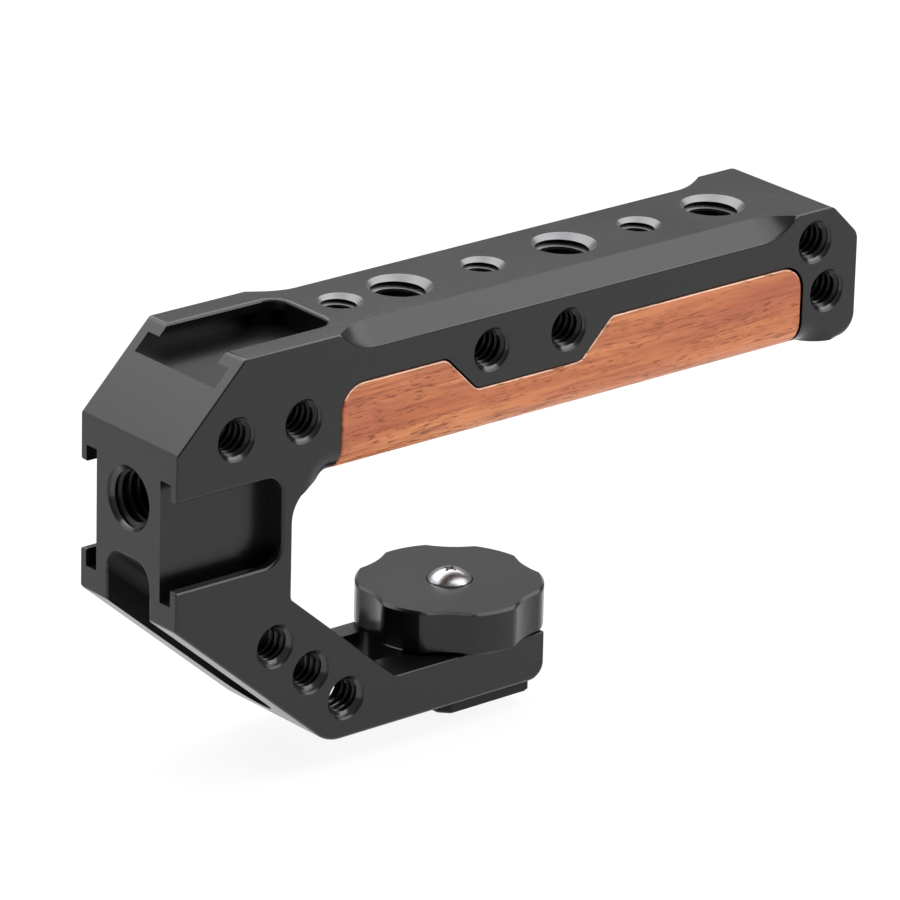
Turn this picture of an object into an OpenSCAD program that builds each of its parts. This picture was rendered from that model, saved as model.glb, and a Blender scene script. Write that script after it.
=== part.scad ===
// Camera top handle: a one-piece machined frame with accessory shoes and tapped
// holes, two inlaid wood grip panels, and a thumb-knob clamp for an accessory shoe.
// Lengths are millimetres. Drawing frame: x runs from the front face to the rear,
// y runs across the handle, z is measured from the top face.

/* [Handle outline] */
// Overall length of the top bar
handle_len = 132.4; // [120:0.1:150]
// Width across both side faces
handle_w = 23; // [21.5:0.1:28]
// Height of the top bar
bar_h = 22; // [20:0.1:26]
// Size of the 45 degree slope above the front face
front_slope = 12.3; // [8:0.1:14]
// Length of the rear top bevel
rear_bevel_len = 5.4; // [3:0.1:8]
// Drop of the rear top bevel
rear_bevel_drop = 5.4; // [3:0.1:8]
// Radius at both ends of the rear top bevel
rear_bevel_r = 2.5; // [0.5:0.1:3]
// Length of the front post along the handle
post_len = 21.4; // [20.8:0.1:26]
// Height of the front face down to the sloped arm
post_h = 39.65; // [38.8:0.05:44]
// Thickness of the sloped arm, square to its faces
arm_t = 14; // [11:0.1:16]
// Slope of the arm below level, in degrees
arm_angle = 40.5; // [36:0.5:46]
// Overall height from the top face to the underside of the platform
handle_h = 64.4; // [60:0.1:72]
// Thickness of the rear-pointing platform
platform_t = 7.65; // [7.2:0.05:10]
// Distance of the knob's axis behind the arm's upper face, along the platform's top
knob_reach = 19.75; // [19.3:0.05:24]
// Distance of the platform's rear end behind the knob's axis
platform_tail = 9.45; // [9:0.05:14]

/* [Corners] */
// Radius between the post and the bar's underside
inner_r = 5.5; // [3:0.1:8]
// Radius where the arm's underside turns level
heel_r = 6; // [2:0.1:9]
// Radius between the arm and the platform's top
arm_foot_r = 2.5; // [1:0.1:4]
// Radius where the post meets the arm's upper face
arm_root_r = 1.2; // [0.5:0.1:3]
// Radius of the rear bottom corner of the bar
rear_r = 3; // [1:0.1:5]
// Radius of the platform's rear bottom corner
tail_r = 2.5; // [1:0.1:3.5]

/* [Bar edges] */
// Size of the bevel along the bar's top edges
top_bevel = 3.2; // [1.5:0.1:3.4]
// Radius of the rounding along the bar's bottom edges
belly_r = 4.5; // [3:0.1:4.7]
// Tip radius of the cutter that leaves the top bevel's curved run-outs
top_cutter_r = 7; // [4:0.1:9]
// Tip radius of the cutter that leaves the bottom rounding's run-outs
belly_cutter_r = 1.5; // [1:0.1:2]
// Where the straight top bevel starts behind the front face
top_bevel_start = 37; // [36:0.1:42]
// Distance from the straight top bevel's end to the rear face
top_bevel_rest = 20.2; // [18:0.1:26]
// Where the straight bottom rounding starts behind the front face
belly_start = 29.2; // [28:0.1:32]
// Distance from the bottom rounding's end to the rear face
belly_rest = 10.1; // [10:0.1:12]
// Size of the bevel along the platform's far top edge
platform_bevel = 2.9; // [1:0.1:3.2]

/* [Accessory shoes] */
// Width of the undercut that takes an accessory foot
shoe_w = 19; // [18.7:0.1:19.5]
// Width of the opening between the lips
shoe_open = 13.8; // [12.5:0.1:14.5]
// Thickness of the lips
shoe_lip_t = 1.4; // [1.2:0.1:1.8]
// Height of the undercut under the lips
shoe_gap = 2.5; // [2.2:0.1:2.8]
// Thickness of the top shoe's lips
top_lip_t = 1.6; // [1.2:0.1:1.8]
// Length of the side shoes along the handle
shoe_len = 19.5; // [18:0.1:19.6]
// Length of the top shoe along the handle
top_shoe_len = 20.1; // [18:0.1:21]
// Radius of the rear corners of the shoes
shoe_r = 3; // [1:0.1:5]
// Depth of the side shoes' centre line below the top face
shoe_drop = 26.5; // [25:0.1:27]

/* [Tapped holes] */
// Major diameter of the small camera thread
small_d = 6.35; // [6.35:0.05:6.4]
// Major diameter of the large camera thread
large_d = 9.525; // [9.4:0.025:9.6]
// Lead-in chamfer at the mouth of each tapped hole
mouth_c = 0.3; // [0.2:0.05:0.5]
// Depth of the small tapped holes in the top face
top_small_depth = 12; // [8:0.1:14]
// Depth of the large tapped holes in the top face
top_large_depth = 14; // [10:0.1:15]
// Depth of the tapped hole in the front face
front_depth = 14; // [10:0.1:15]
// Depth of the front hole's centre below the top face
front_hole_drop = 22.2; // [21:0.1:23]
// Position of the first small hole in the top face
top_hole_start = 38.9; // [38:0.1:40]
// Pitch from the middle hole to its large neighbours in the top face
top_mid_pitch = 16; // [15:0.1:17]
// Pitch of the rear two holes of the top face
top_rear_pitch = 15; // [14:0.1:15.5]
// Spacing of the two side holes inside the grip's notch
notch_pitch = 15; // [14:0.1:16]
// Depth of those holes below the top face
notch_hole_drop = 8.6; // [8:0.1:9.5]
// Position of the first side hole of the front pair
front_pair_x = 10.8; // [10:0.1:12]
// Spacing of the front pair
front_pair_pitch = 12.4; // [11:0.1:13]
// Depth of the front pair below the top face
front_pair_drop = 12; // [11:0.1:12.6]
// Distance of the upper rear side hole from the rear face
rear_hole_rest = 9; // [8:0.1:10]
// Depth of the upper rear side hole below the top face
rear_hole_drop = 5.1; // [4.8:0.1:6]
// Rearward step from the upper to the lower rear side hole
rear_step_x = 2.85; // [2:0.05:3]
// Drop from the upper to the lower rear side hole
rear_step_z = 8.5; // [8:0.1:9]
// Distance of the first arm hole down the arm from the front bottom edge
arm_hole_start = 18.4; // [18:0.1:19]
// Spacing of the arm holes
arm_pitch = 8.95; // [8.5:0.05:9]

/* [Arm slot and window] */
// Width of the slot, the window and the keyway
slot_w = 10; // [9:0.1:11.6]
// Depth of the arm's slot, square to the arm's underside
slot_depth = 6.3; // [5:0.1:8]
// Radius in the slot's bottom corners
slot_r = 2.9; // [1:0.1:3.5]
// Centre of the slot's round end, measured down the arm
slot_len = 28.4; // [24:0.1:29]
// Distance of the window's front wall ahead of the knob's axis
window_front = 28.9; // [27:0.1:29]
// Length of the window
window_len = 16.6; // [14:0.1:17.5]
// Corner radius of the window
window_r = 1.5; // [1:0.1:3]

/* [Grip panels] */
// Gap left around each panel
grip_gap = 0.2; // [0.1:0.05:0.4]
// Thickness of the wood
grip_t = 4.6; // [3.6:0.1:5]
// Thickness of the adhesive sheet behind it
sheet_t = 0.2; // [0.1:0.05:0.4]
// How far the adhesive sheet stays inside the panel's edge
sheet_inset = 1; // [0.5:0.1:2]
// Front end of the grip pocket behind the front face
grip_start = 30.1; // [29.6:0.1:32]
// Distance from the grip pocket's rear end to the rear face
grip_rest = 11.1; // [11:0.1:13]
// Depth of the grip pocket's top edge below the top face
grip_drop = 8; // [7.6:0.1:9]
// Radius of the pocket's upper corners
grip_r = 4.2; // [2:0.1:6]
// Width of the notch's bottom
notch_w = 20.2; // [19:0.1:23]
// Depth of the notch below the pocket's top edge
notch_depth = 6; // [5:0.1:7]
// Radius of the notch's corners
notch_r = 2; // [0.5:0.1:2.5]

/* [Knob] */
// Diameter over the knob's lobes
knob_d = 28.8; // [26:0.1:32]
// Height of the knob's rim
knob_h = 6.85; // [6.5:0.05:9]
// Number of scallops
scallop_n = 6; // [5:1:8]
// Depth of each scallop
scallop_depth = 1.05; // [0.5:0.05:1.4]
// Radius of the cutter that makes a scallop
scallop_r = 13; // [8:0.5:20]
// Bevel on the knob's edges
knob_bevel = 0.4; // [0.2:0.05:0.8]
// Gap between the rim and the platform
knob_gap = 0.25; // [0.2:0.05:0.4]
// Turn of the knob as drawn, in degrees
knob_turn = 20; // [0:1:60]
// Diameter of the knob's hub
hub_d = 11.7; // [10.4:0.1:12]
// Depth of the seat for the hub in the platform
seat_depth = 1.5; // [1.3:0.05:2]
// Thickness of the thrust washer
washer_t = 0.5; // [0.3:0.05:0.6]
// Diameter of the pocket for the cap screw
cap_pocket_d = 7.1; // [6.9:0.1:8]
// Depth of that pocket
cap_pocket_depth = 3; // [2.8:0.1:3.4]

/* [Clamp foot] */
// Width of the foot plate
foot_w = 18.6; // [18.4:0.1:18.6]
// Length of the foot plate
foot_len = 16.8; // [14:0.1:17.4]
// Thickness of the foot plate
foot_t = 2; // [1.8:0.05:2.2]
// Corner cuts at the front of the foot plate
foot_corner = 1.5; // [0.5:0.1:3]
// Gap between the foot plate and the platform as drawn
foot_gap = 0.7; // [0.6:0.05:1]
// Height of the key that keeps the foot from turning
key_h = 2.6; // [2.5:0.1:2.8]
// Depth of the keyway in the platform's underside
keyway_depth = 3.3; // [3:0.1:3.4]
// Diameter of the clamp screw's thread
stud_d = 6; // [5.5:0.1:6.2]
// Diameter of the clamp screw's flat head
stud_head_d = 11; // [9:0.1:11.2]
// Size across the flats of the clamp screw's socket
stud_socket = 4; // [3:0.5:4.5]
// Diameter of the cap screw's domed head
cap_d = 6.4; // [6:0.1:6.5]
// Height of the cap screw's domed head
cap_h = 2; // [1.6:0.1:2.2]
// How far the dome stands above the knob
cap_proud = 0.45; // [0.2:0.05:0.6]
// Diameter of the cap screw's thread
cap_thread_d = 3; // [2.5:0.1:3.2]
// Length of the cap screw's thread
cap_thread_len = 5; // [4:0.1:6]

/* [Hidden] */

// Circle segments, and steps in each rounded corner of an outline
$fn = 72;
corner_steps = 10;
// Overrun of every cut past the face that it opens
over = 1;
// Running fit of a turning or sliding piece in its bore, on the radius
fit = 0.05;
// Side play of the key in its keyway
key_play = 0.08;
// Play of the screw in the platform, on the radius
stud_play = 0.2;
// End float of the knob's hub on the washer
hub_float = 0.05;
// Straight rim below the dome of the cap screw
cap_rim = 0.4;
// Cross recess of the cap screw: arm length, arm width and depth
cross_len = 3;
cross_w = 0.8;
cross_depth = 0.9;
// Depth of the clamp screw's socket
socket_depth = 2;
// Height of the clamp screw's flat head
stud_head_h = 2.8;
// Spare depth under the cap screw's end
tap_spare = 0.8;
// Edge break of the foot plate's underside
foot_break = 0.3;

// Depth of the whole shoe cut below its face
shoe_depth = shoe_lip_t + shoe_gap;
top_shoe_depth = top_lip_t + shoe_gap;
// Level of the platform's top, and where the arm's faces meet the platform's
platform_top = handle_h - platform_t;
arm_rise = tan(arm_angle);
arm_back = arm_t / sin(arm_angle);
arm_foot_x = (platform_top - post_h) / arm_rise + arm_back;
knob_x = arm_foot_x + knob_reach;
platform_end = knob_x + platform_tail;
heel_x = (handle_h - post_h) / arm_rise;
arm_root_z = post_h + (post_len - arm_back) * arm_rise;
// Grip pocket
pocket_depth = grip_t + sheet_t;
grip_mid = handle_len / 2;
// Levels of the clamp, from the top face
knob_base = platform_top - knob_gap;
knob_top = knob_base - knob_h;
hub_base = platform_top + seat_depth - washer_t - hub_float;
foot_top = handle_h + foot_gap;
foot_base = foot_top + foot_t;
stud_top = knob_top + cap_h - cap_proud;
knob_r = knob_d / 2;

// Turns [x, y, radius] corners into the points of a closed outline with true arcs
function unit(v) = v / norm(v);
function arc(c, a, b, r) = [for (i = [0 : corner_steps])
    let (t = a + (b - a) * i / corner_steps) c + r * [cos(t), sin(t)]];
function near_turn(a, b) = b - a > 180 ? b - 360 : b - a < -180 ? b + 360 : b;
function corner(p, q, s) =
    let (c = [q[0], q[1]], r = q[2], u = unit([p[0], p[1]] - c), v = unit([s[0], s[1]] - c),
         half = acos(u * v) / 2, o = c + unit(u + v) * r / sin(half),
         m = c + u * r / tan(half) - o, n = c + v * r / tan(half) - o,
         a = atan2(m[1], m[0]))
    r == 0 ? [c] : arc(o, a, near_turn(a, atan2(n[1], n[0])), r);
function rounded(pts) = let (n = len(pts))
    [for (i = [0 : n - 1]) each corner(pts[(i + n - 1) % n], pts[i], pts[(i + 1) % n])];

// Moves the drawing frame to the foot's underside on the knob's axis
module in_place() {
    translate([-knob_x, 0, foot_base]) children();
}

// Extrudes an outline drawn in x and z across the handle, centred on y = 0
module across(width) {
    rotate([90, 0, 0]) linear_extrude(height = width, center = true) children();
}

// Repeats a cut on both side faces
module both_sides() {
    children();
    mirror([0, 1, 0]) children();
}

// Side view of the frame: bar, post, sloped arm and platform in one outline
module frame_outline() {
    polygon(rounded([
        [0, -front_slope, 0],
        [front_slope, 0, 0],
        [handle_len - rear_bevel_len, 0, rear_bevel_r],
        [handle_len, -rear_bevel_drop, rear_bevel_r],
        [handle_len, -bar_h, rear_r],
        [post_len, -bar_h, inner_r],
        [post_len, -arm_root_z, arm_root_r],
        [arm_foot_x, -platform_top, arm_foot_r],
        [platform_end, -platform_top, 0],
        [platform_end, -handle_h, tail_r],
        [heel_x, -handle_h, heel_r],
        [0, -post_h, 0],
    ]));
}

// Plan of a shoe's cut: open ahead, with round rear corners
module shoe_plan(width, length, lead) {
    polygon(rounded([
        [-lead, -width / 2, 0],
        [length, -width / 2, shoe_r],
        [length, width / 2, shoe_r],
        [-lead, width / 2, 0],
    ]));
}

// Accessory shoe cut down into the face z = 0, running along +x
module shoe_cut(lip, depth, length, lead) {
    translate([0, 0, -lip - over / 2])
        linear_extrude(height = lip + over + over / 2) shoe_plan(shoe_open, length, lead);
    translate([0, 0, -depth])
        linear_extrude(height = depth - lip) shoe_plan(shoe_w, length, lead);
}

// Lead-in chamfer of a tapped hole in the face z = 0
module mouth(d) {
    translate([0, 0, -mouth_c]) cylinder(d1 = d, d2 = d + 2 * mouth_c, h = mouth_c);
    cylinder(d = d + 2 * mouth_c, h = over);
}

// Tapped hole drilled down from the face z = 0
module tapped_hole(d, depth) {
    translate([0, 0, -depth]) cylinder(d = d, h = depth + over);
    mouth(d);
}

// Tapped hole right through both side faces at a place given in x and depth
module side_hole(x, drop) {
    translate([x, 0, -drop]) rotate([90, 0, 0]) {
        cylinder(d = small_d, h = handle_w + 2 * over, center = true);
        for (t = [0, 180]) rotate([t, 0, 0]) translate([0, 0, handle_w / 2]) mouth(small_d);
    }
}

// Pass of a form cutter whose axis lies across the handle on y and z = 0, with the curved
// run-outs that it leaves; its half section is drawn as radius and height, tip inwards
module cutter_pass(from, to) {
    for (x = [from, to]) translate([x, 0, 0]) rotate([90, 0, 0]) rotate_extrude() children();
    translate([to, 0, 0]) rotate([0, 90, 180]) linear_extrude(height = to - from) children();
}

// Bevel along the near top edge
module top_bevel_cut() {
    wide = top_cutter_r + top_bevel;
    translate([0, top_bevel - handle_w / 2, top_cutter_r])
        cutter_pass(top_bevel_start, handle_len - top_bevel_rest)
            polygon([[0, 0], [top_cutter_r, 0], [wide, top_bevel], [wide, top_bevel + over],
                     [0, top_bevel + over]]);
}

// Rounding along the near bottom edge
module belly_cut() {
    wide = belly_cutter_r + belly_r;
    translate([0, belly_r - handle_w / 2, -bar_h - belly_cutter_r]) mirror([0, 0, 1])
        cutter_pass(belly_start, handle_len - belly_rest) difference() {
            square([wide, belly_r + over]);
            translate([wide, 0]) circle(r = belly_r);
        }
}

// Bevel along the platform's far top edge, from the arm's foot to the rear end
module platform_bevel_cut() {
    near = handle_w / 2 - platform_bevel;
    translate([arm_foot_x + arm_foot_r, 0, -platform_top]) rotate([90, 0, 90])
        linear_extrude(height = knob_reach + platform_tail)
            polygon([[near - over, over], [handle_w / 2 + over, -platform_bevel - over],
                     [handle_w / 2 + over, over]]);
}

// Side view of the grip pocket, shrunk by a gap all round but at its open bottom
module grip_outline(gap) {
    front = grip_start + gap;
    rear = handle_len - grip_rest - gap;
    top = -grip_drop - gap;
    low = top - notch_depth;
    half = notch_w / 2 + gap * tan(22.5);
    polygon(rounded([
        [front, -bar_h - over, 0],
        [front, top, grip_r - gap],
        [grip_mid - half - notch_depth, top, notch_r],
        [grip_mid - half, low, notch_r],
        [grip_mid + half, low, notch_r],
        [grip_mid + half + notch_depth, top, notch_r],
        [rear, top, grip_r - gap],
        [rear, -bar_h - over, 0],
    ]));
}

// Layer of the grip on the near side, from one depth below the side face to another
module grip_layer(gap, from, to) {
    translate([0, -handle_w / 2 + (from + to) / 2, 0]) across(to - from) grip_outline(gap);
}

// Slot along the arm's underside with a round end and round bottom corners
module arm_slot_cut() {
    section = [[-slot_w / 2, -over, 0], [-slot_w / 2, slot_depth, slot_r],
               [slot_w / 2, slot_depth, slot_r], [slot_w / 2, -over, 0]];
    half_section = [[0, -over, 0], [slot_w / 2, -over, 0],
                    [slot_w / 2, slot_depth, slot_r], [0, slot_depth, 0]];
    translate([0, 0, -post_h]) rotate([0, arm_angle, 0]) {
        translate([-slot_depth - over, 0, 0]) rotate([90, 0, 90])
            linear_extrude(height = slot_len + slot_depth + over) polygon(rounded(section));
        translate([slot_len, 0, 0]) rotate_extrude() polygon(rounded(half_section));
    }
}

// Window through the platform ahead of the knob
module window_cut() {
    x0 = knob_x - window_front;
    x1 = x0 + window_len;
    translate([0, 0, -handle_h - over]) linear_extrude(height = handle_h - post_h + over)
        polygon(rounded([[x0, -slot_w / 2, window_r], [x1, -slot_w / 2, window_r],
                         [x1, slot_w / 2, window_r], [x0, slot_w / 2, window_r]]));
}

// Keyway in the platform's underside, open into the window and at the rear end
module keyway_cut() {
    x0 = knob_x - window_front + window_len - window_r - over;
    translate([x0, -slot_w / 2, -handle_h - over])
        cube([platform_end + over - x0, slot_w, keyway_depth + over]);
}

// One-piece machined frame
module handle_frame() {
    color("#26272a") in_place() difference() {
        across(handle_w) frame_outline();
        both_sides() {
            top_bevel_cut();
            belly_cut();
            grip_layer(0, -over, pocket_depth);
            translate([0, -handle_w / 2, -shoe_drop]) rotate([90, 0, 0])
                shoe_cut(shoe_lip_t, shoe_depth, shoe_len, over);
        }
        side_hole(front_pair_x, front_pair_drop);
        side_hole(front_pair_x + front_pair_pitch, front_pair_drop);
        for (s = [-1, 1]) side_hole(grip_mid + s * notch_pitch / 2, notch_hole_drop);
        side_hole(handle_len - rear_hole_rest, rear_hole_drop);
        side_hole(handle_len - rear_hole_rest + rear_step_x, rear_hole_drop + rear_step_z);
        translate([0, 0, -post_h]) rotate([0, arm_angle, 0]) for (i = [0 : 2])
            side_hole(arm_hole_start + i * arm_pitch, -arm_t / 2);
        translate([front_slope, 0, 0])
            shoe_cut(top_lip_t, top_shoe_depth, top_shoe_len, front_slope);
        platform_bevel_cut();
        translate([top_hole_start, 0, 0]) tapped_hole(small_d, top_small_depth);
        for (s = [-1, 1])
            translate([grip_mid + s * top_mid_pitch, 0, 0]) tapped_hole(large_d, top_large_depth);
        translate([grip_mid, 0, 0]) tapped_hole(small_d, top_small_depth);
        translate([grip_mid + top_mid_pitch + top_rear_pitch, 0, 0])
            tapped_hole(small_d, top_small_depth);
        translate([grip_mid + top_mid_pitch + 2 * top_rear_pitch, 0, 0])
            tapped_hole(large_d, top_large_depth);
        translate([0, 0, -front_hole_drop]) rotate([0, -90, 0]) tapped_hole(large_d, front_depth);
        arm_slot_cut();
        window_cut();
        keyway_cut();
        translate([knob_x, 0, -platform_top - seat_depth])
            cylinder(r = hub_d / 2 + fit, h = seat_depth + over);
        translate([knob_x, 0, -handle_h]) cylinder(r = stud_d / 2 + stud_play, h = platform_t);
    }
}

// Wood panel let into the near side face, rounded along its bottom like the bar
module left_grip_panel() {
    color("#9a5a34") in_place() difference() {
        grip_layer(grip_gap, 0, grip_t);
        belly_cut();
        translate([0, -handle_w / 2, -bar_h - 2 * over])
            cube([handle_len, handle_w, 2 * over]);
    }
}

module right_grip_panel() {
    color("#9a5a34") mirror([0, 1, 0]) left_grip_panel();
}

// Adhesive sheet between the panel and the frame
module left_bond_sheet() {
    color("#d8d4c8") in_place() difference() {
        grip_layer(sheet_inset, grip_t, pocket_depth);
        translate([0, -handle_w / 2, -bar_h - 2 * over])
            cube([handle_len, handle_w, 2 * over + sheet_inset]);
    }
}

module right_bond_sheet() {
    color("#d8d4c8") mirror([0, 1, 0]) left_bond_sheet();
}

// Thrust washer at the bottom of the knob's seat
module knob_washer() {
    color("#e8e6dc") in_place() translate([knob_x, 0, -platform_top - seat_depth])
        difference() {
            cylinder(d = hub_d, h = washer_t);
            translate([0, 0, -over]) cylinder(r = stud_d / 2 + stud_play, h = washer_t + 2 * over);
        }
}

// Scalloped knob with its hub, thread and the pocket for the cap screw
module knob() {
    scallop_x = knob_r - scallop_depth + scallop_r;
    flare = scallop_r + knob_bevel + over;
    color("#2b2c2f") in_place() translate([knob_x, 0, -knob_base]) difference() {
        rotate_extrude() polygon([
            [0, knob_base - hub_base], [hub_d / 2, knob_base - hub_base], [hub_d / 2, 0],
            [knob_r - knob_bevel, 0], [knob_r, knob_bevel], [knob_r, knob_h - knob_bevel],
            [knob_r - knob_bevel, knob_h], [0, knob_h]]);
        for (i = [0 : scallop_n - 1])
            rotate([0, 0, knob_turn + (i + 1 / 2) * 360 / scallop_n]) translate([scallop_x, 0, 0])
                rotate_extrude() polygon([
                    [0, -over], [flare, -over], [scallop_r, knob_bevel],
                    [scallop_r, knob_h - knob_bevel], [flare, knob_h + over], [0, knob_h + over]]);
        translate([0, 0, knob_base - hub_base - over])
            cylinder(r = stud_d / 2 + fit, h = hub_base - knob_base + knob_h + 2 * over);
        translate([0, 0, knob_h - cap_pocket_depth])
            cylinder(d = cap_pocket_d, h = cap_pocket_depth + over);
    }
}

// Foot plate with the key that slides in the platform's keyway
module foot_plate() {
    module plan(inset) {
        front = -foot_len / 2 + inset;
        rear = foot_len / 2 - inset;
        side = foot_w / 2 - inset;
        polygon([[front, -side + foot_corner], [front + foot_corner, -side], [rear, -side],
                 [rear, side], [front + foot_corner, side], [front, side - foot_corner]]);
    }
    key_w = slot_w - 2 * key_play;
    color("#303134") in_place() translate([knob_x, 0, -foot_base]) difference() {
        union() {
            translate([0, 0, foot_break]) linear_extrude(height = foot_t - foot_break) plan(0);
            linear_extrude(height = foot_break) plan(foot_break);
            translate([-foot_len / 2, -key_w / 2, foot_t]) cube([foot_len, key_w, key_h]);
        }
        translate([0, 0, -over]) cylinder(d = stud_d, h = foot_t + key_h + 2 * over);
        cylinder(d1 = stud_head_d, d2 = stud_d, h = stud_head_h);
    }
}

// Flat-head clamp screw fixed in the foot plate, thread upward
module clamp_screw() {
    length = foot_base - stud_top;
    color("#8c8f94") in_place() translate([knob_x, 0, -foot_base]) difference() {
        union() {
            cylinder(d1 = stud_head_d, d2 = stud_d, h = stud_head_h);
            cylinder(d = stud_d, h = length);
        }
        translate([0, 0, -over])
            cylinder(d = stud_socket / cos(30), h = socket_depth + over, $fn = 6);
        translate([0, 0, length - cap_thread_len - tap_spare])
            cylinder(d = cap_thread_d, h = cap_thread_len + tap_spare + over);
    }
}

// Domed cap screw in the end of the clamp screw, which keeps the knob on
module cap_screw() {
    dome = cap_h - cap_rim;
    dome_r = (pow(cap_d / 2, 2) + pow(dome, 2)) / (2 * dome);
    color("#dfe1e4") in_place() translate([knob_x, 0, -stud_top]) difference() {
        union() {
            intersection() {
                cylinder(d = cap_d, h = cap_h);
                translate([0, 0, cap_h - dome_r]) sphere(r = dome_r);
            }
            translate([0, 0, -cap_thread_len]) cylinder(d = cap_thread_d, h = cap_thread_len);
        }
        for (a = [0, 90]) rotate([0, 0, a + knob_turn])
            translate([-cross_len / 2, -cross_w / 2, cap_h - cross_depth])
                cube([cross_len, cross_w, cross_depth + over]);
    }
}

handle_frame();
left_grip_panel();
right_grip_panel();
left_bond_sheet();
right_bond_sheet();
knob_washer();
knob();
foot_plate();
clamp_screw();
cap_screw();
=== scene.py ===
"""Looks of a camera top handle: a machined, anodised frame with wood grips, tapped holes and a clamp knob.

Everything is in metres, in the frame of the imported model: the origin is the middle of the foot's underside,
+X points to the rear end of the handle, +Y to its right side and +Z up.
"""

import logging
import math
from dataclasses import dataclass, field
from enum import Enum
from typing import Callable, Iterable, Sequence, Union

import bpy
from mathutils import Matrix, Vector


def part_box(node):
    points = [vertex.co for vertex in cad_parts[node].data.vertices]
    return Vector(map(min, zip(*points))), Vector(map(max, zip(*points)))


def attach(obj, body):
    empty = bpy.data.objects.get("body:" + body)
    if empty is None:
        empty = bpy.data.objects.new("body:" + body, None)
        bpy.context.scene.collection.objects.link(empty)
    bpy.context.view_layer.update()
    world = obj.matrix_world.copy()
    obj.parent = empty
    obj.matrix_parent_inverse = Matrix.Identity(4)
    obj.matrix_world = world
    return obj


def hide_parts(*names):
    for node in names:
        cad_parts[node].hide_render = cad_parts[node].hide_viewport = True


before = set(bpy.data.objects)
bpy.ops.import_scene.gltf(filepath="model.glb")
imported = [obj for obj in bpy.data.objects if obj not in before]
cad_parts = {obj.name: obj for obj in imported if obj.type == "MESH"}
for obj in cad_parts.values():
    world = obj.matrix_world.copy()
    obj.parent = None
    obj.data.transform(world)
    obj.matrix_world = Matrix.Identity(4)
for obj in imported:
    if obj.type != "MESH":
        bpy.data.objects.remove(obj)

MM = 0.001
# Drawing millimetres from the front face to the knob's axis, and from the top to the foot's underside.
KNOB_X = 61.328
FOOT_BASE = 67.1
# Metres within which two points of a mesh are merged.
MERGE = 1e-6
# Millimetres within which two places of the drawing count as one.
TINY = 0.02
# The share of a normal along an axis from which a face counts as facing that way.
FACING = 0.9
# The angle in degrees up to which a thread's faces are shaded as one.
THREAD_SMOOTH = 24.0
# The colour sockets of a Mix node, by number: first colour, second colour and result.
MIX_FIRST, MIX_SECOND, MIX_RESULT = 6, 7, 2
Rgb = tuple[float, float, float]
Triple = tuple[float, float, float]
Pair = tuple[float, float]
# The black of the dyed oxide film, and the grit of a surface cut after blasting, in metres.
DYED: Rgb = (0.0032, 0.0033, 0.0036)
FINE_GRIT = 0.000001
log = logging.getLogger("handle")


def at(x: float, y: float, z: float) -> Vector:
    """Turns drawing millimetres, from the front, the middle plane and the top, into the model's metres."""
    return Vector((x - KNOB_X, y, z + FOOT_BASE)) * MM


def drawn(place: Vector) -> Vector:
    """Turns a place in the model into drawing millimetres."""
    return place / MM + Vector((KNOB_X, 0.0, -FOOT_BASE))


def held(value: float) -> float:
    """A value held between 0 and 1."""
    return min(1.0, max(0.0, value))


class Body(Enum):
    """The rigid bodies that pieces ride on."""

    HANDLE = "handle"
    KNOB = "knob"
    FOOT = "foot"


class Slot(Enum):
    """The material slots of the record."""

    FRAME = "frame"
    GRIP = "grip"
    KNOB = "knob"
    FOOT = "foot"
    STEEL = "screw_dark"
    BRIGHT = "screw_bright"


Number = Union["Value", float]


class Value:
    """A number that flows through a material, which Python's arithmetic adds Math nodes to."""

    def __init__(self, graph: "Graph", socket: bpy.types.NodeSocket) -> None:
        """Wraps one output socket of a graph."""
        self.graph = graph
        self.socket = socket

    def _math(self, operation: str, *terms: Number) -> "Value":
        """Adds one Math node.

        Args:
            operation: the Math node's operation.
            terms: its values, in order.

        Returns:
            The node's result.
        """
        values = dict(enumerate(terms))
        return self.graph.value("ShaderNodeMath", {"operation": operation}, values)

    def __add__(self, other: Number) -> "Value":
        """self + other."""
        return self._math("ADD", self, other)

    __radd__ = __add__

    def __sub__(self, other: Number) -> "Value":
        """self - other."""
        return self._math("SUBTRACT", self, other)

    def __mul__(self, other: Number) -> "Value":
        """self * other."""
        return self._math("MULTIPLY", self, other)

    __rmul__ = __mul__

    def clamped(self) -> "Value":
        """The value held between 0 and 1."""
        return self.graph.value("ShaderNodeClamp", {}, {0: self})

    def step(self, low: float, high: float) -> "Value":
        """A smooth step.

        Args:
            low: where the result leaves 0.
            high: where it reaches 1.

        Returns:
            0 below low, 1 above high, and smooth in between.
        """
        settings = {"interpolation_type": "SMOOTHSTEP"}
        inputs = {"Value": self, "From Min": low, "From Max": high}
        return self.graph.value("ShaderNodeMapRange", settings, inputs)


Input = Union[Value, bpy.types.NodeSocket, float, Sequence[float]]


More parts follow.
